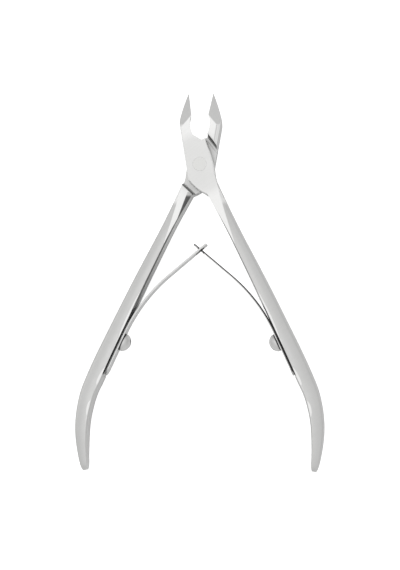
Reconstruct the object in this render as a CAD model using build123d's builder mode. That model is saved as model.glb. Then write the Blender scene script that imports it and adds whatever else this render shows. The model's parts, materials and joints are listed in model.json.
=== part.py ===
"""Lap-joint cuticle nipper with two interlocking leaf springs.

The tool lies on its flat back. X is to the right, Y towards the jaws and Z up. The origin is on the
pivot axis, in the plane that the tool rests on. Each half is drawn closed, in its own frame, with its
jaw on the left and its handle on the right, and is then opened by half of the opening angle. The
rear half is the same forging as the front one, turned over about the Y axis.
"""
import os
from math import asin, cos, degrees, radians, sin, tan

from build123d import *

# ---------------------------------------------------------------- driving dimensions, in millimetres
thickness = 7.0  # over the two ground faces of the joint
middle = thickness / 2
lap_gap = 0.04  # film of oil between the two lap plates
opening = 19.2  # degrees between the closed tool and the tool at rest

# head of one half, closed: jaw and lap plate
half_head = 4.1  # half of the width over the closed joint
tip_y = 22.3
heel_y = 15.1
throat = [(-0.75, 13.2), (-0.95, 11.2), (-0.6, 9.1)]  # outline of the mouth behind the heel
lap_top = (1.75, 7.1)
slant = 0.6  # rise of the top of the lap plate towards its far side
edge_gap = 0.02  # each cutting edge stops this short of the closing plane
side_round = 1.2  # rounding of the outer side of the jaw, on the face with the recess
relief_angle = 8.0  # degrees by which the inner face of the jaw falls away behind the cutting edge
edge_bevel = 0.3  # bevel round the face of the lap plate
facet_slope = 29.0  # degrees between the ground facet and the face of the jaw
facet_skew = 40.0  # degrees between the facet's lower border and the X axis

# shoulders, as lines on the face of the half: the joint lies to the left of each line
jaw_shoulder = ((-1.12, 9.19), (-4.54, 6.07))
grip_shoulder = ((0.36, -9.57), (3.94, -7.17))
shoulder_run = 0.75  # how far the sloping wall comes forward over half the thickness
shoulder_slope = shoulder_run / middle
shoulder_gap = 0.12  # clearance to the other half's lap when closed
relief_width = 0.75  # groove at the foot of the jaw's shoulder
relief_depth = 0.25
shoulder_edge = 0.15  # broken edge of each sloping wall
mate_wall_end = 0.3  # the clearance cut runs this far past the ends of the other half's wall
slab = 250.0  # side of the square slab between the two ground faces
beyond = 4.0  # how far a cutter reaches past the metal
past_face = 1.0  # how far a sloping cutter starts outside a ground face

# pivot
rivet_head = 4.2
rivet_shank = 3.0
rivet_cone = 0.9  # height of the countersunk head
rivet_edge = 0.06  # broken edge of the head
running_clearance = 0.03

# handle: centre point, width and depth of each cross-section, from the joint to the end
grip_sections = [
    (2.1, -6.3, 3.9, thickness + 1.6),
    (3.17, -10.1, 3.95, thickness + 1.2),
    (5.38, -17.1, 3.55, thickness + 0.3),
    (7.85, -25.0, 3.6, thickness),
    (12.5, -40.0, 4.2, thickness),
    (16.84, -55.0, 4.75, thickness),
    (19.36, -64.0, 4.97, thickness),
    (20.91, -70.0, 4.87, thickness),
    (21.84, -75.0, 4.52, thickness),
    (22.0, -80.0, 4.17, thickness),
    (21.51, -85.0, 3.77, thickness - 0.2),
    (20.42, -90.0, 3.09, thickness - 0.9),
    (19.24, -94.0, 2.4, thickness - 2.1),
    (18.75, -95.4, 1.9, thickness - 3.2),
    (18.5, -96.1, 1.25, thickness - 4.7),
]
bevel_top = (2.2, -9.2, 0.0)  # long bevel on the inner edge of the handle, below the shoulder
bevel_side = (0.9, -9.9, 1.4)
bevel_end = (4.1, -18.9, 0.0)

# ground seat of the leaf spring, on the inner face of the handle
seat_start = (12.02, -46.0)
seat_end = (17.86, -67.6)

# leaf spring: its places are measured along the seat from its start, or back from its own tip
leaf_thickness = 0.6
leaf_width = 4.6
leaf_lift = 0.02  # film between the leaf and its seat, and between the leaf and the screw head
leaf_foot = 21.6
leaf_corner = -3.2
leaf_bend = 50.0
leaf_tip = (-5.85, -23.25)
crossing = 2.5  # the two leaves cross this far from their tips
slot_front = 1.1  # from the crossing towards the tip
slot_back = 1.9  # from the crossing towards the foot: the crossing moves this way as the tool closes
slot_width = 2.4
tongue_width = 1.9
tongue_length = 4.3
foot_round = 0.45 * leaf_width

# screw of the leaf spring
screw_place = 10.6
screw_head = 5.3
screw_height = 2.6
screw_rim = 0.8
screw_shank = 2.4
screw_depth = 3.0
screw_gap = 0.1  # the hole is deeper than the screw by this
driver_width = 0.7
driver_depth = 0.8
driver_turn = 25.0  # degrees between the driver slot and the handle
screw_hole = 2.7  # in the leaf


# ---------------------------------------------------------------- helpers
def grip_profile(width, depth):
    """D-shaped section: flat and bevelled inside, crowned in front and behind, round outside."""
    bevel = 0.1 * width
    corner = 0.3 * width
    crown = 1.8 * width
    crown_angle = degrees(asin((width - bevel - corner) / (crown - corner)))
    with BuildLine(Plane.XY) as outline:
        bevel_foot = (-width / 2, depth / 2 - bevel)
        bevel_head = (-width / 2 + bevel, depth / 2)
        Polyline((-width / 2, 0), bevel_foot, bevel_head)
        face = JernArc(bevel_head, (1, 0), crown, -crown_angle)
        turn = JernArc(face @ 1, face % 1, corner, crown_angle - 90)
        Line(turn @ 1, (width / 2, 0))
        mirror(about=Plane.XZ)
    make_face(outline.edges())


def on_outer_side(point):
    """Whether a point of the head's outline is on the outer side of the jaw."""
    return point.X < -half_head / 2 and point.Y > 0


def wall_line(shoulder, run, past_start=beyond, past_end=beyond):
    """A shoulder's line, moved by run towards the joint and lengthened at both ends."""
    start, end = Vector(*shoulder[0]), Vector(*shoulder[1])
    along = (end - start).normalized()
    inward = along.rotate(Axis.Z, 90) * run
    return start + inward - along * past_start, end + inward + along * past_end


def turned_over(shoulder):
    """The same shoulder on the other half, seen in this half's frame."""
    return tuple((-x, y) for x, y in reversed(shoulder))


def recess_corners(run):
    """Outline of the room for the other half's lap, between the two shoulders."""
    corner = (2 * half_head, 2 * half_head)
    return [*wall_line(jaw_shoulder, run), *wall_line(grip_shoulder, run), corner]


def clearance_corners(shoulder, run):
    """Outline of the room for the other half's metal behind its sloping wall."""
    near = wall_line(shoulder, run, past_end=mate_wall_end)
    far = wall_line(shoulder, run - beyond, past_end=mate_wall_end)
    return [*near, *reversed(far)]


# ---------------------------------------------------------------- frames of the spring and its screw
seat_along = (Vector(*seat_end) - Vector(*seat_start)).normalized()
seat_facing = seat_along.rotate(Axis.Z, -90)
seat_origin = Vector(*seat_start) + Vector(0, 0, middle)
screw_origin = seat_origin + seat_along * screw_place
screw_plane = Plane(origin=screw_origin, x_dir=seat_along, z_dir=seat_facing)


# ---------------------------------------------------------------- the forging, closed, in its own frame
with BuildLine() as grip_line:
    centre_line = Spline([(x, y) for x, y, _, _ in grip_sections])

with BuildPart() as head:
    with BuildSketch():
        with BuildLine():
            above_tip = (0.5, tip_y + 0.8)
            side_top = (-half_head, 12.4)
            side_foot = (-half_head, -4.2)
            crotch = (0.9, -9.6)
            lap_side = (half_head, -1.2)
            lap_corner = (2.95, 7.2)
            Spline(
                [above_tip, (-1.12, 20.3), (-2.3, 18.0), (-3.45, 15.4), side_top],
                tangents=[(-0.6, -1), (0, -1)],
            )
            Line(side_top, side_foot)
            ThreePointArc(side_foot, (-1.95, -7.35), crotch)
            Polyline(crotch, (1.6, -11.2), (4.6, -10.3), (4.35, -7.6), (4.0, -4.6), lap_side)
            ThreePointArc(lap_side, (3.72, 2.6), lap_corner)
            Polyline(lap_corner, (2.95, tip_y + 0.8), above_tip)
        make_face()
    extrude(amount=thickness)
    recess_rim = head.faces().sort_by(Axis.Z)[0].edges()
    fillet(recess_rim.filter_by(lambda edge: on_outer_side(edge.center())), radius=side_round)
    face_rim = head.faces().sort_by(Axis.Z)[-1].edges()
    side_rim = face_rim.filter_by(lambda edge: on_outer_side(edge.center()))
    chamfer(side_rim + face_rim.filter_by(GeomType.CIRCLE), length=edge_bevel)

with BuildPart() as handle:
    for x, y, width, depth in grip_sections:
        tangent = centre_line.tangent_at(centre_line.param_at_point((x, y)))
        section = Plane(origin=(x, y, middle), x_dir=tangent.rotate(Axis.Z, 90), z_dir=tangent)
        with BuildSketch(section):
            grip_profile(width, depth)
    loft()

with BuildPart() as forging:
    add(head)
    add(handle)
    # both faces are ground flat across the joint, which cuts a long triangle into the crowned handle
    Box(slab, slab, thickness, align=(Align.CENTER, Align.CENTER, Align.MIN), mode=Mode.INTERSECT)
    # recess for the other lap, with sloping walls
    for height, run in ((-past_face, -past_face * shoulder_slope), (middle + lap_gap / 2, shoulder_run)):
        with BuildSketch(Plane.XY.offset(height)):
            Polygon(*recess_corners(run), align=None)
    loft(mode=Mode.SUBTRACT)
    # groove at the foot of the jaw's shoulder
    with BuildSketch(Plane.XY.offset(middle)):
        foot = wall_line(jaw_shoulder, shoulder_run)
        floor = wall_line(jaw_shoulder, shoulder_run + relief_width)
        Polygon(*foot, *reversed(floor), align=None)
    extrude(amount=relief_depth, mode=Mode.SUBTRACT)
    # broken edges of the two sloping walls
    for shoulder in (jaw_shoulder, grip_shoulder):
        start, end = wall_line(shoulder, 0)
        along = end - start
        with BuildSketch(Plane(origin=start, x_dir=along.rotate(Axis.Z, 90), z_dir=along)):
            wall_corner = (shoulder_edge * shoulder_slope, shoulder_edge)
            Polygon((-shoulder_edge, 0), wall_corner, (shoulder_edge, -shoulder_edge), align=None)
        extrude(amount=along.length, mode=Mode.SUBTRACT)
    # this lap stays clear of the other half's sloping walls
    for shoulder in (turned_over(jaw_shoulder), turned_over(grip_shoulder)):
        for height, run in ((middle, shoulder_run), (thickness + past_face, -past_face * shoulder_slope)):
            with BuildSketch(Plane.XY.offset(height)):
                Polygon(*clearance_corners(shoulder, run + shoulder_gap), align=None)
        loft(mode=Mode.SUBTRACT)

    # mouth: the closing plane from tip to heel, the throat behind it and the top of the lap
    with BuildSketch():
        with BuildLine():
            top = tip_y + 3.0
            Line((-edge_gap, top), (-edge_gap, heel_y))
            Spline([(-edge_gap, heel_y), *throat])
            Polyline(throat[-1], lap_top, (beyond, lap_top[1] + slant), (beyond, top), (-edge_gap, top))
        make_face()
    extrude(amount=thickness, mode=Mode.SUBTRACT)
    # ground facets that thin the jaw towards its tip, in front and behind
    border = Vector(-cos(radians(facet_skew)), -sin(radians(facet_skew)))
    forward = border.rotate(Axis.Z, -90) * sin(radians(facet_slope))
    for height, side in ((0.0, -1), (thickness, 1)):
        facing = forward + Vector(0, 0, side * cos(radians(facet_slope)))
        with BuildSketch(Plane(origin=(0, heel_y, height), x_dir=border, z_dir=facing)):
            Rectangle(tip_y, tip_y)
        extrude(amount=beyond, mode=Mode.SUBTRACT)
    # long bevel below the handle's shoulder
    bevel_along = Vector(*bevel_top) - Vector(*bevel_end)
    bevel_facing = (Vector(*bevel_side) - Vector(*bevel_end)).cross(bevel_along)
    with BuildSketch(Plane(origin=bevel_end, x_dir=bevel_along, z_dir=bevel_facing)):
        Rectangle(bevel_along.length + edge_bevel, beyond, align=(Align.MIN, Align.CENTER))
    extrude(amount=side_round, mode=Mode.SUBTRACT)
    # flat seat of the leaf spring, and the hole for its screw
    seat = Line(seat_start, seat_end, mode=Mode.PRIVATE)
    with BuildSketch():
        outside = Vector(-beyond, 0)
        Polygon(seat @ 0, seat @ 1, seat @ 1 + outside, seat @ 0 + outside, align=None)
    extrude(amount=thickness, mode=Mode.SUBTRACT)
    with BuildSketch(screw_plane):
        Circle(screw_shank / 2)
    extrude(amount=-screw_depth, mode=Mode.SUBTRACT)


# ---------------------------------------------------------------- relief inside the jaws
# Behind its edge the inner face of each jaw falls away from the closing plane, and the throat behind
# the heel falls away by as much. Both halves keep their edge on the front of the tool, so the relief
# starts at a different face of the forging on each half.
half_jaw = tip_y - heel_y
reliefs = []
for face, back in ((thickness, 0.0), (0.0, thickness)):
    heel = Vector(-edge_gap, heel_y, face)
    cutting_edge = (Vector(-edge_gap, tip_y, middle) - heel).normalized()
    behind = Vector(0, 0, back - face).cross(cutting_edge).cross(cutting_edge).normalized() * -1
    run_back = half_jaw * thickness / Vector(half_jaw, middle).length * tan(radians(relief_angle))
    facing = Vector(1, 0, 0) + behind * tan(radians(relief_angle))
    with BuildPart() as relief:
        for height, run in ((face, 0.0), (back, run_back)):
            with BuildSketch(Plane.XY.offset(height)):
                with BuildLine():
                    start = (-edge_gap - run, heel_y)
                    Spline([start, *[(x - run, y) for x, y in throat]])
                    end = (throat[-1][0] - run, throat[-1][1])
                    Polyline(end, lap_top, (beyond, heel_y), start)
                make_face()
        loft(ruled=True)
        with BuildSketch(Plane(origin=heel, x_dir=cutting_edge, z_dir=facing)):
            Rectangle(2 * half_jaw, 2 * thickness, align=(Align.MIN, Align.CENTER))
        extrude(amount=beyond)
    reliefs.append(relief.part)
front_relief, rear_relief = reliefs

# ---------------------------------------------------------------- rivet
with BuildPart() as pivot_rivet:
    with BuildSketch(Plane.XZ):
        with BuildLine():
            Polyline(
                (0, middle),
                (rivet_shank / 2, middle),
                (rivet_shank / 2, thickness - rivet_cone),
                (rivet_head / 2, thickness - rivet_edge),
                (rivet_head / 2 - rivet_edge, thickness),
                (0, thickness),
                close=True,
            )
        make_face()
        mirror(about=Plane.XZ.offset(-middle))
    revolve(axis=Axis.Z)

# ---------------------------------------------------------------- leaf springs, closed, in their frames
leaf_rise = leaf_lift + leaf_thickness / 2
foot_point = Vector(*seat_start) + seat_along * leaf_foot + seat_facing * leaf_rise
corner_point = Vector(*seat_start) + seat_along * leaf_corner + seat_facing * leaf_rise
tip_point = Vector(*leaf_tip)
blade_along = (tip_point - corner_point).normalized()
blade_facing = blade_along.rotate(Axis.Z, 90)
crossing_point = tip_point - blade_along * crossing + Vector(0, 0, middle)
crossing_plane = Plane(origin=crossing_point, x_dir=blade_along, z_dir=blade_facing)

with BuildPart() as leaf:
    with BuildLine() as leaf_line:
        FilletPolyline(foot_point, corner_point, tip_point, radius=leaf_bend)
    with BuildSketch(Plane.XY.offset(middle - leaf_width / 2)):
        trace(leaf_line.edges(), line_width=leaf_thickness)
    extrude(amount=leaf_width)
    foot_corners = leaf.edges().filter_by(Axis((0, 0, 0), seat_facing))
    fillet(foot_corners, radius=foot_round)
    with BuildSketch(screw_plane):
        Circle(screw_hole / 2)
    extrude(amount=2 * leaf_thickness, mode=Mode.SUBTRACT)

with BuildPart() as slotted_leaf:
    add(leaf)
    with BuildSketch(crossing_plane):
        with Locations((-slot_back, 0)):
            Rectangle(slot_back + slot_front, slot_width, align=(Align.MIN, Align.CENTER))
    extrude(amount=leaf_thickness, both=True, mode=Mode.SUBTRACT)

with BuildPart() as tongued_leaf:
    add(leaf)
    with BuildSketch(crossing_plane):
        with Locations((crossing - tongue_length, tongue_width / 2)):
            Rectangle(2 * tongue_length, leaf_width, align=(Align.MIN, Align.MIN))
        mirror(about=Plane.XZ)
    extrude(amount=leaf_thickness, both=True, mode=Mode.SUBTRACT)

# ---------------------------------------------------------------- spring screw, closed, in its frame
head_plane = screw_plane.offset(leaf_thickness + 2 * leaf_lift)

with BuildPart() as screw:
    across = seat_along.cross(seat_facing)
    with BuildSketch(Plane(origin=head_plane.origin, x_dir=seat_along, z_dir=across)):
        with BuildLine():
            shank_end = (0, screw_gap - screw_depth)
            rim_top = (screw_head / 2, screw_rim)
            crown = (0, screw_height)
            shank_corner = (screw_shank / 2, screw_gap - screw_depth)
            Polyline(crown, shank_end, shank_corner, (screw_shank / 2, 0), (screw_head / 2, 0), rim_top)
            TangentArc(crown, rim_top, tangent=(1, 0))
        make_face()
    revolve(axis=Axis(head_plane.origin, seat_facing))
    with BuildSketch(head_plane.offset(screw_height - driver_depth)):
        Rectangle(2 * screw_head, driver_width, rotation=driver_turn)
    extrude(amount=screw_height, mode=Mode.SUBTRACT)

# ---------------------------------------------------------------- the two halves, opened
half_opening = radians(opening / 2)
front_frame = Plane(origin=(0, 0, 0), x_dir=(cos(half_opening), sin(half_opening)), z_dir=(0, 0, 1))
rear_frame = Plane(origin=(0, 0, thickness), x_dir=(-cos(half_opening), sin(half_opening)), z_dir=(0, 0, -1))

with BuildPart() as front_half:
    with Locations(front_frame):
        add(forging)
        add(front_relief, mode=Mode.SUBTRACT)
    add(pivot_rivet, mode=Mode.SUBTRACT)

with BuildPart() as rear_half:
    with Locations(rear_frame):
        add(forging)
        add(rear_relief, mode=Mode.SUBTRACT)
    Cylinder(rivet_shank / 2 + running_clearance, 2 * thickness, mode=Mode.SUBTRACT)
    Cone(
        rivet_head / 2 + 2 * running_clearance,
        rivet_shank / 2 + running_clearance,
        rivet_cone,
        align=(Align.CENTER, Align.CENTER, Align.MIN),
        mode=Mode.SUBTRACT,
    )

with BuildPart() as slotted_spring:
    with Locations(rear_frame):
        add(slotted_leaf)

with BuildPart() as tongued_spring:
    with Locations(front_frame):
        add(tongued_leaf)

with BuildPart() as left_spring_screw:
    with Locations(rear_frame):
        add(screw)

with BuildPart() as right_spring_screw:
    with Locations(front_frame):
        add(screw)

# ---------------------------------------------------------------- write the pieces
front_half.part.label = "front_half"
rear_half.part.label = "rear_half"
pivot_rivet.part.label = "pivot_rivet"
slotted_spring.part.label = "slotted_spring"
tongued_spring.part.label = "tongued_spring"
left_spring_screw.part.label = "left_spring_screw"
right_spring_screw.part.label = "right_spring_screw"

os.makedirs("parts", exist_ok=True)
export_step(front_half.part, "parts/front_half.step")
export_step(rear_half.part, "parts/rear_half.step")
export_step(pivot_rivet.part, "parts/pivot_rivet.step")
export_step(slotted_spring.part, "parts/slotted_spring.step")
export_step(tongued_spring.part, "parts/tongued_spring.step")
export_step(left_spring_screw.part, "parts/left_spring_screw.step")
export_step(right_spring_screw.part, "parts/right_spring_screw.step")
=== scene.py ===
# %% [markdown]
# # A cuticle nipper in satin steel
#
# This lesson dresses a finished CAD model. The two forged halves and the rivet come from the frame as
# they are and only get their finish. The leaf springs and their screws are made again here, in finer
# detail, and take the places of the plain CAD solids. Everything is in metres.

# %% Load the frame
import json
from math import asin, cos, degrees, pi, radians, sin, sqrt

import bmesh
import bpy
import numpy as np
from mathutils import Matrix, Vector


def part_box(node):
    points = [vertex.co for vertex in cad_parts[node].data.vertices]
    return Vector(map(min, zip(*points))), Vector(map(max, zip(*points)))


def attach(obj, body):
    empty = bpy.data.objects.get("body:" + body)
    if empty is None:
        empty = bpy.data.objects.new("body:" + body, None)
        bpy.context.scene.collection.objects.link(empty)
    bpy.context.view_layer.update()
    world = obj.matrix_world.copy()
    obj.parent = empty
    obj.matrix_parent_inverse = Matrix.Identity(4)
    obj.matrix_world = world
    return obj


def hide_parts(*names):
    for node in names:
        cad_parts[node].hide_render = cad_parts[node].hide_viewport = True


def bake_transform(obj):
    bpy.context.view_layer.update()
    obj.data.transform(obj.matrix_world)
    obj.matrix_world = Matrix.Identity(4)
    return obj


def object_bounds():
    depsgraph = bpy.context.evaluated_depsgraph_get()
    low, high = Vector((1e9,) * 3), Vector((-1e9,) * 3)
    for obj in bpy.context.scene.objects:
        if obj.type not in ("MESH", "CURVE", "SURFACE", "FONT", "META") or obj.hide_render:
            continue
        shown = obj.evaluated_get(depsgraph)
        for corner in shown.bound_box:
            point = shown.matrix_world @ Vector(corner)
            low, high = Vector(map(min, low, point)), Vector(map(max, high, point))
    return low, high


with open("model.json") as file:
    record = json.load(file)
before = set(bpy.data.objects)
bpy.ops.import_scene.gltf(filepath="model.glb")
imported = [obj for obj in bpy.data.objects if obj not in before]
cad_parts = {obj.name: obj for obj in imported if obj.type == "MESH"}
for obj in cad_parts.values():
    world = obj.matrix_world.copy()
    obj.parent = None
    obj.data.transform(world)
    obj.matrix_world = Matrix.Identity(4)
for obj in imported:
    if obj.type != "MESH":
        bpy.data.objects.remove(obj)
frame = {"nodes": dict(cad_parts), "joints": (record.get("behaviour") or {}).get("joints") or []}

UP = Vector((0, 0, 1))
cad_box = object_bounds()

# %% [markdown]
# ## What the frame already knows
#
# The pivot stands on the origin. Its range says how far the nipper is open at rest, and each half is
# turned by half of that angle. So a piece can be drawn for one half, closed, and then be carried to
# its place by that half's matrix: the front half is only turned, and the rear half is also flipped.

# %% Matrices of the two halves
joints = {joint["name"]: joint for joint in frame["joints"]}
half_opening = radians(joints["pivot"]["range_deg"][1]) / 2
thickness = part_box("pivot_rivet")[1].z
middle = thickness / 2
front_half = Matrix.Rotation(half_opening, 4, "Z")
flip = Matrix.Translation((0, 0, thickness)) @ Matrix.Rotation(pi, 4, "Y")
rear_half = flip @ Matrix.Rotation(half_opening, 4, "Z")

# %% [markdown]
# ## Helpers for node trees
#
# Materials and Geometry Nodes are both graphs. A small helper adds a node, sets its values and links
# its inputs in one call, which keeps a tree as readable as a formula.


# %% Node helpers
def node(tree, kind, inputs=None, **settings):
    """Add a node. Each input is a value or another node's output socket."""
    made = tree.nodes.new(kind)
    for name, value in settings.items():
        setattr(made, name, value)
    for key, value in (inputs or {}).items():
        if isinstance(value, bpy.types.NodeSocket):
            tree.links.new(value, made.inputs[key])
        else:
            made.inputs[key].default_value = value
    return made


def math(tree, operation, *values, clamp=False):
    """A Math node's output. Each value is a number or a socket."""
    made = node(tree, "ShaderNodeMath", dict(enumerate(values)), operation=operation, use_clamp=clamp)
    return made.outputs[0]


def product(tree, *factors):
    """All factors multiplied."""
    result = factors[0]
    for factor in factors[1:]:
        result = math(tree, "MULTIPLY", result, factor)
    return result


def vector_math(tree, operation, *values):
    """A Vector Math node. Each value is a vector or a socket."""
    return node(tree, "ShaderNodeVectorMath", dict(enumerate(values)), operation=operation)


def ramp(tree, value, low, high, to_low=0.0, to_high=1.0):
    """Map a value smoothly from one range to another, clamped at both ends."""
    inputs = {"Value": value, "From Min": low, "From Max": high, "To Min": to_low, "To Max": to_high}
    return node(tree, "ShaderNodeMapRange", inputs, interpolation_type="SMOOTHSTEP").outputs[0]


def band(tree, value, rise, fall):
    """1 between two slopes of the value and 0 outside them. A slope is (none, full)."""
    return product(tree, ramp(tree, value, *rise), ramp(tree, value, *fall))


def without(tree, mask, other):
    """What a mask covers and the other mask doesn't."""
    return product(tree, mask, math(tree, "SUBTRACT", 1.0, other))


def noise(tree, coordinate, scale, detail=2.0):
    """A Noise Texture's value, from 0 to 1."""
    inputs = {"Vector": coordinate, "Scale": scale, "Detail": detail, "Roughness": 0.5}
    return node(tree, "ShaderNodeTexNoise", inputs).outputs["Fac"]


def stretched(tree, coordinate, scale, turn=(0, 0, 0)):
    """The coordinate, turned and then scaled by a different amount along each axis."""
    turned = node(tree, "ShaderNodeMapping", {"Vector": coordinate, "Rotation": turn}).outputs[0]
    return vector_math(tree, "MULTIPLY", turned, scale).outputs[0]


def new_material(name):
    """An empty material and its tree."""
    made = bpy.data.materials.new(name)
    made.use_nodes = True
    made.node_tree.nodes.clear()
    return made, made.node_tree


def finish_material(tree, colour, roughness, height, depth, normal=None):
    """Close a material: a metal shader over a bump map, where depth is in metres."""
    bump_inputs = {"Height": height, "Distance": depth, "Strength": 1.0}
    if normal is not None:
        bump_inputs["Normal"] = normal
    bumped = node(tree, "ShaderNodeBump", bump_inputs).outputs[0]
    inputs = {"Base Color": colour, "Roughness": roughness, "Normal": bumped, "Metallic": 1.0}
    shader = node(tree, "ShaderNodeBsdfPrincipled", inputs)
    node(tree, "ShaderNodeOutputMaterial", {"Surface": shader.outputs[0]})


def between(tree, factor, low, high):
    """A colour between two colours, each three numbers or a socket."""
    made = node(tree, "ShaderNodeMix", {"Factor": factor}, data_type="RGBA")
    for socket, value in ((made.inputs[6], low), (made.inputs[7], high)):
        if isinstance(value, bpy.types.NodeSocket):
            tree.links.new(value, socket)
        else:
            socket.default_value = (*value, 1)
    return made.outputs[2]


def crevice(tree, reach, first=0.62, full=0.18):
    """1 in a tight inner corner or slit, 0 on open metal, between two amounts of open sky."""
    open_sky = node(tree, "ShaderNodeAmbientOcclusion", {"Distance": reach}, samples=8)
    return ramp(tree, open_sky.outputs["AO"], first, full)


def edge_light(tree, radius):
    """The normal of a slightly rounded edge, and 1 along edges, 0 on faces."""
    rounded = node(tree, "ShaderNodeBevel", {"Radius": radius}, samples=6).outputs[0]
    plain = node(tree, "ShaderNodeNewGeometry").outputs["Normal"]
    bend = vector_math(tree, "DOT_PRODUCT", rounded, plain).outputs["Value"]
    edge_start, edge_full = 0.995, 0.9  # cosines of the angle by which rounding turns the normal
    return rounded, ramp(tree, bend, edge_start, edge_full)


# %% [markdown]
# ## The satin of the two halves
#
# A nipper is forged, filed, tumbled and then ground. The handles keep a soft satin from tumbling, the
# faces of the joint and the facets of the jaws show the straight scratches of a fine belt, and every
# edge is smoother where it was broken and where fingers have polished it, and lighter from a painted
# highlight. The walls of the shoulders are darkened by painted shade, and so are the bevels and seats
# behind the leaf springs. A painted highlight brightens the rounded edges of the head.
#
# One material tells these zones apart by the direction that the surface faces and by its place, both
# read in the object's own space, so that the finish stays where it is when the halves turn. A zone is
# a mask between 0 and 1, made of soft slopes. Other ways are a material for each face, which a CAD mesh
# of loose triangles makes hard, or painted masks, which need an image.

# %% Sizes of the satin's marks
grain = 0.00012  # size of the tumbled grain
scratch_length = 0.004
scratch_width = 0.00005
scratch_scale = (1 / scratch_length, 1 / scratch_width, 1 / scratch_width)
satin_depth = 0.000004  # of grain and scratches
fine_depth = 0.000003  # of the marks on the small parts
edge_round = 0.00012  # radius at which a sharp edge catches the light
crevice_reach = 0.0011  # width of the painted shade in an inner corner
handle_lean = radians(22)  # between each handle and the Y axis
plate_belt, facet_belt = radians(8), radians(-32)  # directions of the belt's scratches
stroke_turn = radians(-38)
stroke_scale = (250.0, 2600.0, 900.0)
cloud_scale = 90.0
patch_scale = 420.0

# %% Greys of the steel, each from its darkest to its lightest
tumbled_greys = ((0.56, 0.56, 0.555), (0.70, 0.70, 0.69))
ground_greys = ((0.70, 0.70, 0.695), (0.88, 0.88, 0.87))
plate_greys = ((0.60, 0.60, 0.595), (0.775, 0.775, 0.765))
facet_greys = ((0.62, 0.62, 0.615), (0.78, 0.78, 0.77))
# painted shade on the shoulder walls of the joint
wall_shade_grey = (0.05, 0.05, 0.05)
# painted highlight on the rounded edges of the head
rim_highlight_grey = (0.90, 0.90, 0.89)
# painted shade round the spring seats
seat_shade_grey = (0.02, 0.02, 0.02)
# painted highlight along edges
edge_highlight_grey = (0.95, 0.95, 0.945)
corner_shade_grey = (0.03, 0.03, 0.03)  # painted shade in inner corners and slits


# %% Zones of the forging
def slopes_and_places(tree):
    """What the zones are told apart by, as sockets with plain names."""
    place = node(tree, "ShaderNodeTexCoord")
    facing = node(tree, "ShaderNodeSeparateXYZ", {0: place.outputs["Normal"]}).outputs
    where = node(tree, "ShaderNodeSeparateXYZ", {0: place.outputs["Object"]}).outputs
    # inward: how much the surface faces the space between the handles
    side = math(tree, "SIGN", where["X"])
    across = product(tree, side, facing["X"], -cos(handle_lean))
    along = math(tree, "MULTIPLY", facing["Y"], sin(handle_lean))
    return {
        "spot": place.outputs["Object"],
        "x": where["X"],
        "y": where["Y"],
        "z": where["Z"],
        "upright": math(tree, "ABSOLUTE", facing["Z"]),
        "from_middle": math(tree, "ABSOLUTE", math(tree, "SUBTRACT", where["Z"], middle)),
        "inward": math(tree, "SUBTRACT", across, along),
    }


def ground_zones(tree, at):
    """Masks of the facets of the jaws, and of all that the belt has ground."""
    outer_face = ramp(tree, at["from_middle"], 0.98 * middle, 0.995 * middle)
    flat = product(tree, ramp(tree, at["upright"], 0.9985, 0.9997), outer_face)
    facet_slope = band(tree, at["upright"], (0.85, 0.865), (0.9, 0.885))
    in_jaw = ramp(tree, at["y"], 0.0118, 0.0122)
    facet = product(tree, facet_slope, in_jaw)
    return facet, math(tree, "MAXIMUM", flat, facet)


def cut_zones(tree, at):
    """Masks of the handles' filed bevels, of sloping walls, and of painted shade on the shoulder walls."""
    bevel_slope = band(tree, at["upright"], (0.45, 0.55), (0.97, 0.93))
    in_handle = ramp(tree, at["y"], -0.009, -0.010)
    filed = product(tree, bevel_slope, in_handle, ramp(tree, at["inward"], 0.2, 0.35))
    wall = band(tree, at["upright"], (0.12, 0.17), (0.3, 0.25))
    in_joint = band(tree, at["y"], (-0.0105, -0.0095), (0.0105, 0.0095))
    wall_shade = product(tree, wall, in_joint, ramp(tree, at["from_middle"], 0.0, middle))
    return filed, wall, wall_shade


def rim_highlight_zone(tree, at, filed, facet, wall):
    """Mask of the painted highlight on the rounded edges of the head, in front and behind."""
    rim_slope = band(tree, at["upright"], (0.1, 0.2), (0.97, 0.93))
    near_face = ramp(tree, at["from_middle"], 0.3 * middle, 0.6 * middle)
    in_head = ramp(tree, at["y"], -0.0125, -0.011)
    rim_highlight = without(tree, product(tree, rim_slope, near_face, in_head), filed)
    return without(tree, rim_highlight, math(tree, "MAXIMUM", facet, wall))


def seat_shade_zone(tree, at, filed):
    """Mask of painted shade round the spring seats, and fainter on the left handle's long bevel."""
    at_seat = band(tree, at["y"], (-0.041, -0.044), (-0.0635, -0.0625))
    inner_wall = product(tree, ramp(tree, at["inward"], 0.8, 0.9), ramp(tree, at["z"], 0.0056, 0.0058))
    round_seat = product(tree, math(tree, "MAXIMUM", filed, inner_wall), at_seat)
    on_left = product(tree, ramp(tree, at["x"], 0.001, -0.001), ramp(tree, at["y"], -0.07, -0.04))
    faint = 0.75
    return math(tree, "MAXIMUM", round_seat, product(tree, filed, on_left, faint))


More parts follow.
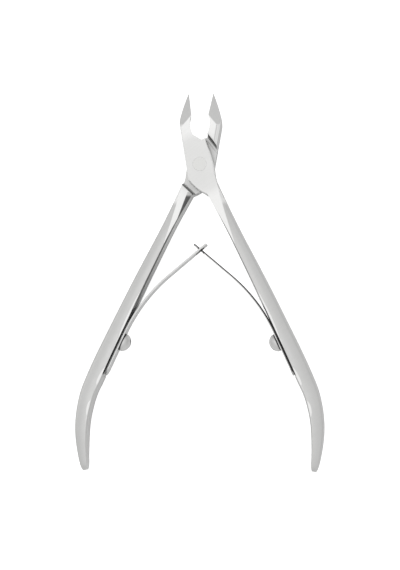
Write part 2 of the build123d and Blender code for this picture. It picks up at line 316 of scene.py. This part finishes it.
# %% Satin steel
def satin_steel():
    """Tumbled satin and ground facets, with painted highlights on edges and painted shade in corners."""
    made, tree = new_material("satin_steel")
    at = slopes_and_places(tree)
    spot = at["spot"]
    facet, ground = ground_zones(tree, at)
    filed, wall, wall_shade = cut_zones(tree, at)
    rim_highlight = rim_highlight_zone(tree, at, filed, facet, wall)
    seat_shade = seat_shade_zone(tree, at, filed)
    rounded, edge = edge_light(tree, edge_round)

    # height: tumbled grain, or belt scratches where the metal is ground
    tumbled = noise(tree, spot, 1 / grain, detail=3.0)
    across = noise(tree, stretched(tree, spot, scratch_scale, (0, 0, plate_belt)), 1.0, detail=4.0)
    skewed = noise(tree, stretched(tree, spot, scratch_scale, (0, 0, facet_belt)), 1.0, detail=4.0)
    scratches = node(tree, "ShaderNodeMix", {"Factor": facet, "A": across, "B": skewed}).outputs[0]
    height = node(tree, "ShaderNodeMix", {"Factor": ground, "A": tumbled, "B": scratches}).outputs[0]

    # roughness: smoother where hands have worn the handles, and along edges
    clouds = noise(tree, spot, cloud_scale, detail=3.0)
    handled = ramp(tree, at["y"], -0.02, -0.055)
    patches = noise(tree, spot, patch_scale)
    worn = product(tree, handled, ramp(tree, patches, 0.4, 0.7, 0.0, 0.05))
    satin = math(tree, "SUBTRACT", ramp(tree, clouds, 0.3, 0.7, 0.36, 0.42), worn)
    belt = ramp(tree, scratches, 0.3, 0.7, 0.3, 0.38)
    rough = node(tree, "ShaderNodeMix", {"Factor": ground, "A": satin, "B": belt}).outputs[0]
    rough = math(tree, "SUBTRACT", rough, product(tree, edge, 0.1))

    # colour: one tone moves every zone between its own two greys
    strokes = noise(tree, stretched(tree, spot, stroke_scale, (0, 0, stroke_turn)), 1.0)
    tone = math(tree, "ADD", product(tree, clouds, 0.45), product(tree, height, 0.3))
    tone = math(tree, "ADD", tone, product(tree, strokes, 0.25))
    level = vector_math(tree, "MULTIPLY", spot, (1, 1, 0)).outputs[0]
    from_pivot = vector_math(tree, "LENGTH", level).outputs["Value"]
    plate = ramp(tree, from_pivot, 0.011, 0.007)
    flats = between(tree, plate, between(tree, tone, *ground_greys), between(tree, tone, *plate_greys))
    flats = between(tree, facet, flats, between(tree, tone, *facet_greys))
    colour = between(tree, ground, between(tree, tone, *tumbled_greys), flats)
    # painted shade on the shoulder walls, darker towards the open faces
    colour = between(tree, wall_shade, colour, wall_shade_grey)
    # painted highlight on the rounded edges of the head
    colour = between(tree, rim_highlight, colour, rim_highlight_grey)
    # painted shade round the spring seats, fainter on the left handle's long bevel
    colour = between(tree, seat_shade, colour, seat_shade_grey)
    # painted highlight: the colour is lightened along edges
    colour = between(tree, product(tree, edge, 0.8), colour, edge_highlight_grey)
    # painted shade in inner corners and slits, from ambient occlusion
    colour = between(tree, crevice(tree, crevice_reach), colour, corner_shade_grey)
    finish_material(tree, colour, rough, height, satin_depth, rounded)
    return made


# %% [markdown]
# ## The rivet
#
# The rivet is hammered over, then ground flush with the joint, so only a hair line shows round it. The
# belt leaves the same scratches on it as on the joint face, over the faint rings of its turned head.

# %% Rivet steel
ring_width = 0.00016
rivet_belt = radians(11)
rivet_greys = ((0.59, 0.59, 0.58), (0.76, 0.76, 0.745))


def turned_rings(tree, radius):
    """A wave between -1 and 1 over the distance from the axis."""
    return math(tree, "SINE", product(tree, radius, 2 * pi / ring_width))


def rivet_steel():
    """Ground flush: belt scratches over the rings of the turned head."""
    made, tree = new_material("rivet_steel")
    spot = node(tree, "ShaderNodeTexCoord").outputs["Object"]
    scratches = noise(tree, stretched(tree, spot, scratch_scale, (0, 0, rivet_belt)), 1.0, detail=4.0)
    level = vector_math(tree, "MULTIPLY", spot, (1, 1, 0)).outputs[0]
    radius = vector_math(tree, "LENGTH", level).outputs["Value"]
    height = math(tree, "ADD", product(tree, turned_rings(tree, radius), 0.12), scratches)
    rough = ramp(tree, scratches, 0.3, 0.7, 0.31, 0.39)
    colour = between(tree, height, *rivet_greys)
    finish_material(tree, colour, rough, height, fine_depth)
    return made


# %% Put the finish on the forged halves and the rivet
def dress(name, material):
    """Give a CAD node its material."""
    slots = frame["nodes"][name].data.materials
    slots.clear()
    slots.append(material)


satin = satin_steel()
dress("front_half", satin)
dress("rear_half", satin)
dress("pivot_rivet", rivet_steel())
print("dressed the two halves and the rivet")

# %% [markdown]
# ## The leaf springs
#
# Each leaf is stamped flat from spring strip and then bent. It is made the same way here. The blank is
# a flat mesh: a round foot with a hole for the screw, a blade that gets narrower, and at its tip either
# a slot or a tongue. The left leaf's slot lets the right leaf's tongue through, which keeps the two
# together while they slide. Geometry Nodes then give the blank its thickness and wrap it round a path:
# a straight foot on the handle, one wide bend and a straight blade.

# %% Sizes of the leaf, in its half's closed frame
leaf_thickness = 0.0006
leaf_width = 0.0046
tip_width = 0.0040
leaf_lift = 0.00002  # film between the leaf and its seat, and between the leaf and the screw head
seat_start = Vector((0.01202, -0.0460, 0))
seat_end = Vector((0.01786, -0.0676, 0))
leaf_foot = 0.0216
leaf_corner = -0.0032
leaf_bend = 0.050
leaf_tip = Vector((-0.00585, -0.02325, 0))
crossing = 0.0025  # from the tip
slot_front = 0.0011
slot_back = 0.0019
slot_width = 0.0024
tongue_width = 0.0019
tongue_length = 0.0043
hole_width = 0.0027
screw_place = 0.0106  # along the seat
foot_round = 0.45 * leaf_width
tongue_round = 0.35 * tongue_width
shoulder_round = 0.0006  # length of the hollow where the tongue starts

seat_along = (seat_end - seat_start).normalized()
seat_facing = UP.cross(-seat_along)
on_seat = seat_start + seat_facing * (leaf_lift + leaf_thickness / 2)
foot_point = on_seat + seat_along * leaf_foot
corner_point = on_seat + seat_along * leaf_corner
bend_angle = (corner_point - foot_point).angle(leaf_tip - corner_point)
to_tangent = leaf_bend * sin(bend_angle / 2) / cos(bend_angle / 2)
foot_run = (corner_point - foot_point).length - to_tangent
blade_run = (leaf_tip - corner_point).length - to_tangent
leaf_length = foot_run + leaf_bend * bend_angle + blade_run
hole_at = leaf_foot - screw_place


# %% The flat blank
def half_width(x, tongued):
    """Half of the blank's width at a distance x from the end of its foot."""
    share = min(1.0, max(0.0, (x - foot_run) / (leaf_length - foot_run)))
    side = (leaf_width + (tip_width - leaf_width) * share) / 2
    if x < foot_round:
        return side - foot_round + sqrt(max(0.0, foot_round**2 - (foot_round - x) ** 2))
    neck = leaf_length - tongue_length
    if not tongued or x < neck:
        return side
    past = min(1.0, (x - neck) / shoulder_round)
    tongue = tongue_width / 2
    past_round = x - leaf_length + tongue_round
    if past_round > 0:
        tongue = tongue - tongue_round + sqrt(max(0.0, tongue_round**2 - past_round**2))
    hollow = 0.55 * (side - tongue)  # what is left of the shoulder where the tongue starts
    return tongue + hollow * (1 - past) ** 3


def opening_at(x, tongued):
    """Half of the width of the hole or slot at x, or None where the blank is whole."""
    if abs(x - hole_at) < hole_width / 2:
        return sqrt((hole_width / 2) ** 2 - (x - hole_at) ** 2)
    slot_centre = leaf_length - crossing
    if not tongued and slot_centre - slot_back < x < slot_centre + slot_front:
        return slot_width / 2
    return None


def stations(tongued):
    """Places along the blank that its outline needs, closer together where it curves."""
    tight = 0.00001  # between the two places at a step of the outline
    quarter = pi / 2
    even = np.linspace(0, leaf_length, 96)
    foot_end = foot_round * (1 - np.cos(np.linspace(0, quarter, 14)))
    hole_edge = 0.97 * quarter  # just short of the hole's ends, where its width is nothing
    hole = hole_at + hole_width / 2 * np.sin(np.linspace(-hole_edge, hole_edge, 23))
    extra = [*foot_end, *hole, hole_at - hole_width / 2 - tight, hole_at + hole_width / 2 + tight]
    if tongued:
        neck = leaf_length - tongue_length
        extra += [neck, neck - tight, *(neck + np.linspace(tight, shoulder_round, 6))]
        extra += [*(leaf_length - tongue_round * (1 - np.sin(np.linspace(0, quarter, 8))))]
    else:
        slot_centre = leaf_length - crossing
        ends = (slot_centre - slot_back, slot_centre + slot_front)
        extra += [ends[0] - tight, ends[0] + tight, ends[1] - tight, ends[1] + tight]
    places = sorted([*even, *extra])
    following = [*places[1:], 2 * leaf_length]
    return [x for x, after in zip(places, following) if after - x > tight / 2]


def leaf_blank(name, tongued):
    """The stamped strip, flat: X runs from the foot to the tip, and Y across."""
    least_width = 0.00005
    mesh = bmesh.new()
    uv_layer = mesh.loops.layers.uv.new("UVMap")
    rows = []
    for x in stations(tongued):
        side = max(half_width(x, tongued), least_width)
        opening = opening_at(x, tongued)
        if opening is None:
            column = min(slot_width / 2, 0.6 * side)
        else:
            column = min(opening, 0.95 * side)
        corners = [mesh.verts.new((x, y, 0)) for y in (-side, -column, column, side)]
        rows.append((corners, opening is not None))
    for (near, near_open), (far, far_open) in zip(rows, rows[1:]):
        for index in range(3):
            if index == 1 and near_open and far_open:
                continue  # the middle column is missing along the hole and the slot
            mesh.faces.new((near[index], far[index], far[index + 1], near[index + 1]))
    for face in mesh.faces:
        for loop in face.loops:
            loop[uv_layer].uv = loop.vert.co.xy
    bmesh.ops.recalc_face_normals(mesh, faces=mesh.faces)
    if mesh.faces[:][0].normal.z < 0:
        bmesh.ops.reverse_faces(mesh, faces=mesh.faces)
    data = bpy.data.meshes.new(name)
    mesh.to_mesh(data)
    mesh.free()
    made = bpy.data.objects.new(name, data)
    bpy.context.scene.collection.objects.link(made)
    return made


# %% [markdown]
# ### Bending with Geometry Nodes
#
# The tree draws the path itself: a line of three points, with the corner rounded by Fillet Curve. Each
# point of the blank then takes its X as a length along the path, its Y as height and its Z as distance
# from the path's line. All sizes are inputs of the group, so the same tree bends any strip. It also
# stores how much painted shade the cut edge gets at each point, from the back of the strip to its
# front, as an attribute that the material reads.

# %% A group with named inputs
def node_group(name, sizes):
    """A Geometry Nodes group with a geometry input, the named sizes and a geometry output."""
    kinds = {float: "NodeSocketFloat", int: "NodeSocketInt", Vector: "NodeSocketVector"}
    tree = bpy.data.node_groups.new(name, "GeometryNodeTree")
    tree.interface.new_socket("Geometry", in_out="INPUT", socket_type="NodeSocketGeometry")
    tree.interface.new_socket("Geometry", in_out="OUTPUT", socket_type="NodeSocketGeometry")
    for label, value in sizes.items():
        tree.interface.new_socket(label, in_out="INPUT", socket_type=kinds[type(value)])
    tree.interface.new_socket("Material", in_out="INPUT", socket_type="NodeSocketMaterial")
    return tree, tree.nodes.new("NodeGroupInput").outputs


def run_tree(piece, tree, sizes, material):
    """Run the tree on the piece's mesh, keep the result as a plain mesh and drop the modifier."""
    modifier = piece.modifiers.new(tree.name, "NODES")
    modifier.node_group = tree
    for socket in tree.interface.items_tree:
        if socket.in_out == "INPUT" and socket.name in sizes:
            modifier[socket.identifier] = sizes[socket.name]
        if socket.name == "Material":
            modifier[socket.identifier] = material
    bpy.context.view_layer.update()
    graph = bpy.context.evaluated_depsgraph_get()
    result = bpy.data.meshes.new_from_object(piece.evaluated_get(graph))
    piece.modifiers.clear()
    piece.data = result
    print(piece.name, "has", len(result.polygons), "faces")
    return piece


# %% A number stored on each point
def stored(tree, geometry, name, value):
    """The geometry with a value kept on its points, under a name that a material can read."""
    inputs = {"Geometry": geometry, "Name": name, "Value": value}
    store = node(tree, "GeometryNodeStoreNamedAttribute", inputs, data_type="FLOAT", domain="POINT")
    return store.outputs[0]


# %% The bending tree
bend_steps = 48
weld_distance = 0.000001
leaf_sizes = {
    "Foot": foot_point,
    "Corner": corner_point,
    "Tip": leaf_tip,
    "Bend radius": leaf_bend,
    "Strip thickness": leaf_thickness,
    "Cut shade at back": 0.0,
    "Cut shade at front": 0.0,
}


def bending_tree():
    """Thicken a flat strip and wrap it round a path with one rounded corner."""
    tree, given = node_group("bend_strip", leaf_sizes)
    line_inputs = {"Start": given["Foot"], "End": given["Tip"]}
    line = node(tree, "GeometryNodeCurvePrimitiveLine", line_inputs).outputs[0]
    three = node(tree, "GeometryNodeResampleCurve", {"Curve": line}, mode="COUNT")
    three.inputs["Count"].default_value = 3
    is_corner = node(tree, "FunctionNodeCompare", data_type="INT", operation="EQUAL")
    tree.links.new(node(tree, "GeometryNodeInputIndex").outputs[0], is_corner.inputs[2])
    is_corner.inputs[3].default_value = 1
    corner_inputs = {0: three.outputs[0], "Selection": is_corner.outputs[0], "Position": given["Corner"]}
    bent = node(tree, "GeometryNodeSetPosition", corner_inputs).outputs[0]
    fillet_inputs = {"Curve": bent, "Radius": given["Bend radius"], "Count": bend_steps}
    path = node(tree, "GeometryNodeFilletCurve", fillet_inputs, mode="POLY").outputs[0]

    blank = given["Geometry"]
    extrude_inputs = {
        "Mesh": blank,
        "Offset": (0, 0, 1),
        "Offset Scale": given["Strip thickness"],
        "Individual": False,
    }
    raised = node(tree, "GeometryNodeExtrudeMesh", extrude_inputs, mode="FACES").outputs[0]
    back = node(tree, "GeometryNodeFlipFaces", {"Mesh": blank}).outputs[0]
    both = node(tree, "GeometryNodeJoinGeometry")
    tree.links.new(raised, both.inputs[0])
    tree.links.new(back, both.inputs[0])
    weld_inputs = {"Geometry": both.outputs[0], "Distance": weld_distance}
    strip = node(tree, "GeometryNodeMergeByDistance", weld_inputs).outputs[0]

    flat_place = node(tree, "GeometryNodeInputPosition").outputs[0]
    flat = node(tree, "ShaderNodeSeparateXYZ", {0: flat_place}).outputs
    sample_inputs = {"Curves": path, "Length": flat["X"]}
    sample = node(tree, "GeometryNodeSampleCurve", sample_inputs, mode="LENGTH", use_all_curves=True)
    aside = vector_math(tree, "CROSS_PRODUCT", (0, 0, 1), sample.outputs["Tangent"]).outputs[0]
    centred = math(tree, "SUBTRACT", flat["Z"], math(tree, "MULTIPLY", given["Strip thickness"], 0.5))
    offset = vector_math(tree, "SCALE", aside)
    tree.links.new(centred, offset.inputs["Scale"])
    upward = node(tree, "ShaderNodeCombineXYZ", {"Z": flat["Y"]}).outputs[0]
    wrapped = vector_math(tree, "ADD", sample.outputs["Position"], offset.outputs[0]).outputs[0]
    wrapped = vector_math(tree, "ADD", wrapped, upward).outputs[0]
    # how much painted shade the cut edge gets, from the back of the strip to its front
    through = math(tree, "DIVIDE", flat["Z"], given["Strip thickness"], clamp=True)
    mixed = {"Factor": through, "A": given["Cut shade at back"], "B": given["Cut shade at front"]}
    shaded_cut = node(tree, "ShaderNodeMix", mixed).outputs[0]
    placed_inputs = {0: stored(tree, strip, "cut_shade", shaded_cut), "Position": wrapped}
    placed = node(tree, "GeometryNodeSetPosition", placed_inputs).outputs[0]
    real = node(tree, "GeometryNodeRealizeInstances", {0: placed}).outputs[0]
    done = node(tree, "GeometryNodeSetMaterial", {0: real, "Material": given["Material"]}).outputs[0]
    node(tree, "NodeGroupOutput", {0: done})
    return tree


# %% [markdown]
# ### Rolled spring steel
#
# Strip is cold rolled, so its grain runs along it. The blank's flat coordinates were kept as a UV map,
# and the grain reads that map, so it follows the strip round the bend. The back of each leaf, which
# looks at its handle and up at the joint, is near black from painted shade, and the rest is ground. A
# stamped edge is bright where it was sheared, and painted shade darkens part of it. Painted shade also
# darkens the place where the leaves cross.

# %% Spring steel
strip_grain = (220.0, 16000.0, 1.0)  # marks per metre along and across the strip
skin_greys = ((0.56, 0.56, 0.56), (0.72, 0.72, 0.71))
# painted shade on the back of each leaf
back_shade_greys = ((0.02, 0.02, 0.02), (0.06, 0.06, 0.06))
cut_greys = ((0.52, 0.52, 0.52), (0.72, 0.72, 0.71))
# painted shade on part of the cut edge
cut_shade_grey = (0.03, 0.03, 0.03)
# painted shade where the leaves cross
crossing_shade_grey = (0.005, 0.005, 0.005)
crossing_shade_zone = (-0.0285, -0.0275)  # along Y, from no painted shade to full


def spring_steel():
    """Cold-rolled strip: grain along the leaf, painted shade behind and on part of the stamped edge."""
    made, tree = new_material("spring_steel")
    strip_place = node(tree, "ShaderNodeUVMap", uv_map="UVMap").outputs[0]
    place = node(tree, "ShaderNodeTexCoord")
    facing = node(tree, "ShaderNodeSeparateXYZ", {0: place.outputs["Normal"]}).outputs
    where = node(tree, "ShaderNodeSeparateXYZ", {0: place.outputs["Object"]}).outputs
    rolled = noise(tree, stretched(tree, strip_place, strip_grain), 1.0, detail=4.0)
    clouds = noise(tree, strip_place, 350.0, detail=3.0)
    rounded, edge = edge_light(tree, 0.00008)
    rough = math(tree, "SUBTRACT", ramp(tree, rolled, 0.3, 0.7, 0.24, 0.34), product(tree, edge, 0.08))

    tone = math(tree, "ADD", product(tree, rolled, 0.5), product(tree, clouds, 0.5))
    # painted highlight: the tone is lightened along the leaf's edges
    tone = math(tree, "ADD", tone, product(tree, edge, 0.25))
    # painted shade on the side of the leaf that faces +Y
    shaded_back = ramp(tree, facing["Y"], 0.1, 0.3)
    face = between(tree, shaded_back, between(tree, tone, *skin_greys), between(tree, tone, *back_shade_greys))
    shaded_cut = node(tree, "ShaderNodeAttribute", attribute_name="cut_shade").outputs["Fac"]
    # painted shade on part of the cut edge, where the stored share is high
    cut = between(tree, ramp(tree, shaded_cut, 0.4, 0.55), between(tree, tone, *cut_greys), cut_shade_grey)
    on_edge = ramp(tree, math(tree, "ABSOLUTE", facing["Z"]), 0.8, 0.95)
    colour = between(tree, on_edge, face, cut)
    # painted shade in inner corners and slits, from ambient occlusion
    colour = between(tree, crevice(tree, crevice_reach), colour, corner_shade_grey)
    # painted shade where the leaves cross, from ambient occlusion in a zone along Y
    narrow = crevice(tree, 0.0016, 0.9, 0.6)
    colour = between(tree, product(tree, ramp(tree, where["Y"], *crossing_shade_zone), narrow), colour, crossing_shade_grey)
    finish_material(tree, colour, rough, rolled, fine_depth, rounded)
    return made


# %% Make, bend and place both leaves
def to_half(piece, half):
    """Carry a piece from the closed frame of a half to its place."""
    piece.data.transform(Matrix.Translation((0, 0, middle)))
    piece.data.transform(half)
    piece.data.update()


leaf_break = 0.00006
screw_break = 0.00005


def break_edges(piece, width):
    """Break the edges of a stamped or turned piece, and smooth its shading between them."""
    modifier = piece.modifiers.new("broken_edges", "BEVEL")
    modifier.width = width
    modifier.segments = 2
    modifier.limit_method = "ANGLE"
    modifier.angle_limit = radians(40)
    modifier.harden_normals = True
    for face in piece.data.polygons:
        face.use_smooth = True


bend_strip = bending_tree()
spring_metal = spring_steel()
leaves = {}
for name, tongued, half in (("slotted_leaf", False, rear_half), ("tongued_leaf", True, front_half)):
    leaf = leaf_blank(name, tongued)
    # share of painted shade on the cut edge at the back and the front of each leaf
    cut_shades = {"Cut shade at back": 1.0 if tongued else 0.0, "Cut shade at front": 0.0 if tongued else 0.5}
    run_tree(leaf, bend_strip, leaf_sizes | cut_shades, spring_metal)
    to_half(leaf, half)
    leaves[name] = leaf

# %% [markdown]
# ### Finishing the leaves
#
# The foot of a leaf is screwed to its handle, and its blade swings as the nipper closes. Here each leaf
# gets broken edges and shading smoothed between them, its placement is baked into its mesh, and the
# CAD spring that it replaces is hidden.

# %% Finish each leaf and hide its CAD spring
def bend_between(leaf, handle, blade, node_name):
    """Break the leaf's edges, bake its place into its mesh and hide the CAD spring it replaces."""
    break_edges(leaf, leaf_break)
    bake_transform(leaf)
    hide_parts(node_name)
    print(node_name, "bends between", handle, "and", blade)


bend_between(leaves["slotted_leaf"], "rear", "slotted_leaf", "slotted_spring")
bend_between(leaves["tongued_leaf"], "front", "tongued_leaf", "tongued_spring")

# %% [markdown]
# ## The spring screws
#
# A domed screw holds the foot of each leaf. It is turned, so it is a lathe shape: a grid wrapped into
# rings, each with the radius and height of one point of the profile. The profile is drawn once, as the
# mesh that goes into the tree, and the driver slot is cut by a box. Two screws need one tree.

# %% Sizes of the screw, along its own axis
screw_head = 0.0053
screw_height = 0.0026
screw_rim = 0.0008
screw_shank = 0.0024
screw_length = 0.0029
rim_chamfer = 0.00008
driver_width = 0.0007
driver_depth = 0.0008
driver_turn = radians(25)
screw_sizes = {
    "Segments": 72,
    "Slot length": 1.5 * screw_head,
    "Slot width": driver_width,
    "Slot depth": driver_depth,
    "Slot turn": driver_turn,
    "Head height": screw_height,
}


def screw_profile():
    """Radius and height of each ring, from the end of the shank to the top of the head."""
    side = screw_head / 2
    drop = (side**2 + screw_rim**2 - screw_height**2) / (2 * (screw_height - screw_rim))
    dome_radius = screw_height + drop
    half_angle = asin(side / dome_radius)
    dome_rings = 22
    turns = np.linspace(half_angle, 0, dome_rings)
    dome = [(dome_radius * sin(turn), dome_radius * cos(turn) - drop) for turn in turns]
    shank = [(0.0, -screw_length), (screw_shank / 2, -screw_length), (screw_shank / 2, 0.0)]
    return [*shank, (side - rim_chamfer, 0.0), (side, rim_chamfer), *dome]


# %% The lathe tree
def lathe_tree(rings):
    """Wrap a grid round Z with the profile's radii, weld its seam and poles and cut the driver slot."""
    tree, given = node_group("turned_screw", screw_sizes)
    columns = math(tree, "ADD", given["Segments"], 1)
    grid_inputs = {"Vertices X": columns, "Vertices Y": rings, "Size X": 1.0, "Size Y": 1.0}
    grid = node(tree, "GeometryNodeMeshGrid", grid_inputs).outputs[0]
    index = node(tree, "GeometryNodeInputIndex").outputs[0]
    ring = math(tree, "MODULO", index, rings)
    column = math(tree, "FLOOR", math(tree, "DIVIDE", math(tree, "ADD", index, 0.5), rings))
    position = node(tree, "GeometryNodeInputPosition").outputs[0]
    profile = node(tree, "GeometryNodeSampleIndex", data_type="FLOAT_VECTOR", domain="POINT")
    tree.links.new(given["Geometry"], profile.inputs["Geometry"])
    tree.links.new(ring, profile.inputs["Index"])
    tree.links.new(position, profile.inputs["Value"])
    point = node(tree, "ShaderNodeSeparateXYZ", {0: profile.outputs[0]}).outputs
    turn = math(tree, "MULTIPLY", math(tree, "DIVIDE", column, given["Segments"]), 2 * pi)
    x = math(tree, "MULTIPLY", point["X"], math(tree, "COSINE", turn))
    y = math(tree, "MULTIPLY", point["X"], math(tree, "SINE", turn))
    place = node(tree, "ShaderNodeCombineXYZ", {"X": x, "Y": y, "Z": point["Z"]}).outputs[0]
    wrapped = node(tree, "GeometryNodeSetPosition", {0: grid, "Position": place}).outputs[0]
    weld_inputs = {"Geometry": wrapped, "Distance": weld_distance}
    welded = node(tree, "GeometryNodeMergeByDistance", weld_inputs).outputs[0]

    depth = math(tree, "MULTIPLY", given["Slot depth"], 2)  # the box stands half above the head
    size_inputs = {"X": given["Slot length"], "Y": given["Slot width"], "Z": depth}
    size = node(tree, "ShaderNodeCombineXYZ", size_inputs).outputs[0]
    cutter = node(tree, "GeometryNodeMeshCube", {"Size": size}).outputs[0]
    lift = node(tree, "ShaderNodeCombineXYZ", {"Z": given["Head height"]}).outputs[0]
    turned = node(tree, "ShaderNodeCombineXYZ", {"Z": given["Slot turn"]}).outputs[0]
    cutter_inputs = {"Geometry": cutter, "Translation": lift, "Rotation": turned}
    cutter = node(tree, "GeometryNodeTransform", cutter_inputs).outputs[0]
    cut = node(tree, "GeometryNodeMeshBoolean", {"Mesh 1": welded}, operation="DIFFERENCE", solver="EXACT")
    tree.links.new(cutter, cut.inputs["Mesh 2"])
    level = vector_math(tree, "MULTIPLY", position, (1, 1, 0)).outputs[0]
    radius = vector_math(tree, "LENGTH", level).outputs["Value"]
    height = node(tree, "ShaderNodeSeparateXYZ", {0: position}).outputs["Z"]
    measured = stored(tree, cut.outputs[0], "turned_radius", radius)
    measured = stored(tree, measured, "turned_height", height)
    real = node(tree, "GeometryNodeRealizeInstances", {0: measured}).outputs[0]
    done = node(tree, "GeometryNodeSetMaterial", {0: real, "Material": given["Material"]}).outputs[0]
    node(tree, "NodeGroupOutput", {0: done})
    return tree


# %% [markdown]
# ### Turned and polished
#
# A turned face has fine rings round its axis. The tree stored each point's distance from the axis and
# its height as attributes. The material makes the rings from the first, and a painted shadow line at
# the foot of the head from the second, so both are right on both screws.

# %% Screw steel
screw_greys = ((0.60, 0.60, 0.595), (0.76, 0.76, 0.75))
foot_shadow_band = (0.0005, 0.0002)  # height above the leaf, from no painted shadow to full


def screw_steel():
    """Turned rings, lightly polished, with a painted shadow line at the foot of the head."""
    made, tree = new_material("screw_steel")
    radius = node(tree, "ShaderNodeAttribute", attribute_name="turned_radius").outputs["Fac"]
    spot = node(tree, "ShaderNodeTexCoord").outputs["Object"]
    grit = noise(tree, spot, 9000.0, detail=3.0)
    clouds = noise(tree, spot, 500.0, detail=3.0)
    height = math(tree, "ADD", product(tree, turned_rings(tree, radius), 0.25), grit)
    rough = ramp(tree, clouds, 0.3, 0.7, 0.3, 0.42)
    tone = math(tree, "ADD", product(tree, clouds, 0.6), product(tree, grit, 0.4))
    raised = node(tree, "ShaderNodeAttribute", attribute_name="turned_height").outputs["Fac"]
    turned_colour = between(tree, tone, *screw_greys)
    # painted shadow at the foot of the head, over the turned colour
    colour = between(tree, ramp(tree, raised, *foot_shadow_band), turned_colour, corner_shade_grey)
    finish_material(tree, colour, rough, height, fine_depth)
    return made


# %% Turn and place the two screws
def edge_mesh(name, points):
    """An object whose mesh is a chain of edges through (radius, height) points."""
    data = bpy.data.meshes.new(name)
    edges = [(index, index + 1) for index in range(len(points) - 1)]
    data.from_pydata([(radius, 0, height) for radius, height in points], edges, [])
    made = bpy.data.objects.new(name, data)
    bpy.context.scene.collection.objects.link(made)
    return made


profile = screw_profile()
turned_screw = lathe_tree(len(profile))
screw_metal = screw_steel()
seat_height = 2 * leaf_lift + leaf_thickness
screw_origin = seat_start + seat_along * screw_place + seat_facing * seat_height
screw_frame = Matrix.Translation(screw_origin) @ Matrix(
    (seat_along, seat_facing.cross(seat_along), seat_facing)
).transposed().to_4x4()
for name, body, half in (("left_screw", "rear", rear_half), ("right_screw", "front", front_half)):
    screw = edge_mesh(name, profile)
    run_tree(screw, turned_screw, screw_sizes, screw_metal)
    screw.data.transform(screw_frame)
    to_half(screw, half)
    break_edges(screw, screw_break)
    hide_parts(name.replace("screw", "spring_screw"))
    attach(screw, body)

# %% [markdown]
# ## Table, light and camera
#
# Polished tools are shown on an opal table: a white sheet that glows a little, under a wide soft light.
# The metal then mirrors even white from above and below, and shows its shape by the darker band near
# the horizon. The sheet has to come out plain white, and at that strength its glow would wash out the
# metal. So a Light Path node gives it a strong glow where it is seen straight from the camera, and a
# weak one where it lights the metal or is mirrored in it.

# %% Opal table
sheet_size = 6.0
sheet_drop = 0.00002  # below the resting face
sheet_greys = ((0.70, 0.70, 0.70), (0.74, 0.74, 0.74))
glow_on_metal = 0.2
glow_seen = 0.85


def opal_table():
    """A large pale sheet under the nipper."""
    made, tree = new_material("opal_sheet")
    spot = node(tree, "ShaderNodeTexCoord").outputs["Object"]
    haze = noise(tree, spot, 30.0)
    seen = node(tree, "ShaderNodeLightPath").outputs["Is Camera Ray"]
    colour = between(tree, haze, *sheet_greys)
    glow = ramp(tree, seen, 0.0, 1.0, glow_on_metal, glow_seen)
    inputs = {"Base Color": colour, "Roughness": 0.6}
    inputs |= {"Emission Color": (1, 1, 1, 1), "Emission Strength": glow}
    shader = node(tree, "ShaderNodeBsdfPrincipled", inputs)
    node(tree, "ShaderNodeOutputMaterial", {"Surface": shader.outputs[0]})
    bpy.ops.mesh.primitive_plane_add(size=sheet_size, location=(0, 0, -sheet_drop))
    sheet = bpy.context.object
    sheet.name = "opal_table"
    sheet.data.materials.append(made)


opal_table()


# %% Soft surroundings
def surroundings():
    """A room that is bright overhead and darker near the horizon."""
    world = bpy.data.worlds.new("studio")
    bpy.context.scene.world = world
    world.use_nodes = True
    tree = world.node_tree
    tree.nodes.clear()
    direction = node(tree, "ShaderNodeTexCoord").outputs["Generated"]
    height = node(tree, "ShaderNodeSeparateXYZ", {0: direction}).outputs["Z"]
    glow = ramp(tree, height, 0.3, 1.0, 0.72, 0.9)
    background = node(tree, "ShaderNodeBackground", {"Color": (1, 1, 1, 1), "Strength": glow})
    node(tree, "ShaderNodeOutputWorld", {"Surface": background.outputs[0]})


def softbox(name, place, size, power):
    """A square soft light that looks at the nipper."""
    light = bpy.data.lights.new(name, "AREA")
    light.shape = "SQUARE"
    light.size = size
    light.energy = power
    made = bpy.data.objects.new(name, light)
    made.location = place
    made.rotation_euler = (centre - Vector(place)).to_track_quat("-Z", "Y").to_euler()
    bpy.context.scene.collection.objects.link(made)


centre = (cad_box[0] + cad_box[1]) / 2
surroundings()
softbox("overhead", (-0.2, 0.15, 1.1), 0.7, 0.5)
softbox("left_fill", (-0.9, 0.2, 0.35), 0.5, 0.3)

# %% [markdown]
# ### The camera
#
# The view is from almost straight above, a little to the right and a little towards the handles, with
# a long lens, so the far ends of the handles show hardly more of their sides than the joint does.

# %% Camera
azimuth = radians(6.3)
tilt = radians(3.85)
roll = radians(0.3225)
camera_place = Vector((0.065639, -0.076389, 0.598513))
looking = Vector((-sin(azimuth) * cos(tilt), sin(tilt), -cos(azimuth) * cos(tilt)))
level_right = looking.cross(Vector((0, 1, 0))).normalized()
level_up = level_right.cross(looking)
right = level_right * cos(roll) + level_up * sin(roll)
above = -level_right * sin(roll) + level_up * cos(roll)
camera_data = bpy.data.cameras.new("camera")
camera_data.lens = 126.3
camera_data.sensor_width = 36.0
camera = bpy.data.objects.new("camera", camera_data)
axes = Matrix((right, above, -looking)).transposed().to_4x4()
camera.matrix_world = Matrix.Translation(camera_place) @ axes
bpy.context.scene.collection.objects.link(camera)
bpy.context.scene.camera = camera
bpy.context.scene.view_settings.view_transform = "Standard"
